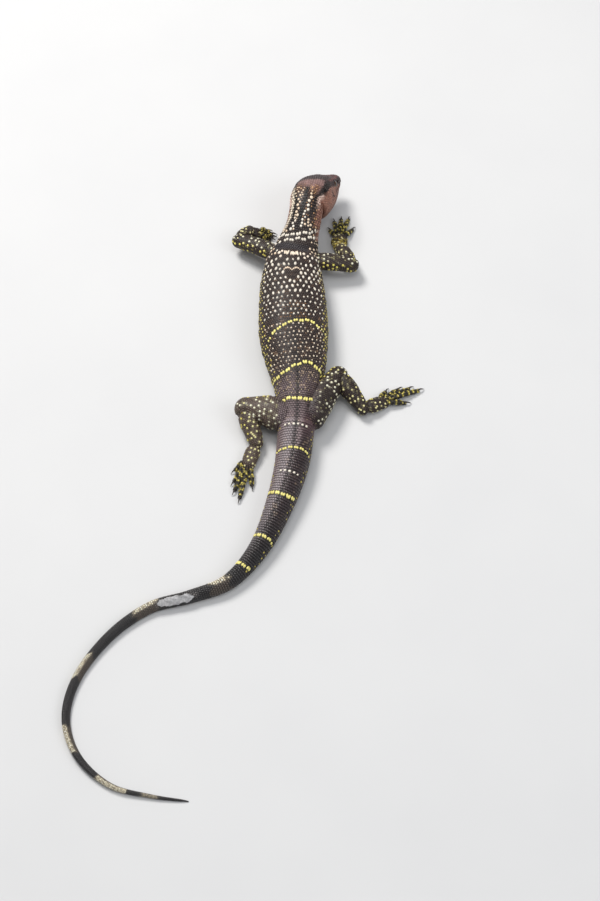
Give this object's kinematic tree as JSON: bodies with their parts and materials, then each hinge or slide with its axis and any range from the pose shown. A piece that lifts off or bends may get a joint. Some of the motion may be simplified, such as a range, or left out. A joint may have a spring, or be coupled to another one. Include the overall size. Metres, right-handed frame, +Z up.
{
  "type": "young dumerils monitor lizard, still model",
  "caption": "Young monitor lizard, life size and still, lying on its belly with its neck arched, head turned to the right and long tail laid in a hook.",
  "frame": {"origin": "middle of the footprint, on the floor", "axes": "+Y forwards along the trunk, from tail to head, +X to the animal's right, +Z up"},
  "size_m": [0.1472, 0.2946, 0.0274],
  "materials": {
    "head_skin": "satin scaled skin, mauve brown with a black mask",
    "body_skin": "satin scaled skin, blackish brown with cream spots and thin yellow bands",
    "tail_skin": "satin scaled skin, black with cream bands",
    "limb_skin": "satin scaled skin, dark grey with pale dots, and dark claws",
    "eye": "glossy dark brown"
  },
  "bodies": {
    "root": {"head": "head_skin", "eye_right": "eye", "eye_left": "eye", "neck": "body_skin", "torso": "body_skin", "tail_base": "tail_skin", "tail_middle": "tail_skin", "tail_lower": "tail_skin", "tail_tip": "tail_skin", "fore_right_upper_arm": "limb_skin", "fore_right_lower_arm": "limb_skin", "fore_right_foot": "limb_skin", "fore_left_upper_arm": "limb_skin", "fore_left_lower_arm": "limb_skin", "fore_left_foot": "limb_skin", "hind_right_upper_leg": "limb_skin", "hind_right_lower_leg": "limb_skin", "hind_right_foot": "limb_skin", "hind_left_upper_leg": "limb_skin", "hind_left_lower_leg": "limb_skin", "hind_left_foot": "limb_skin"}
  },
  "joints": []
}
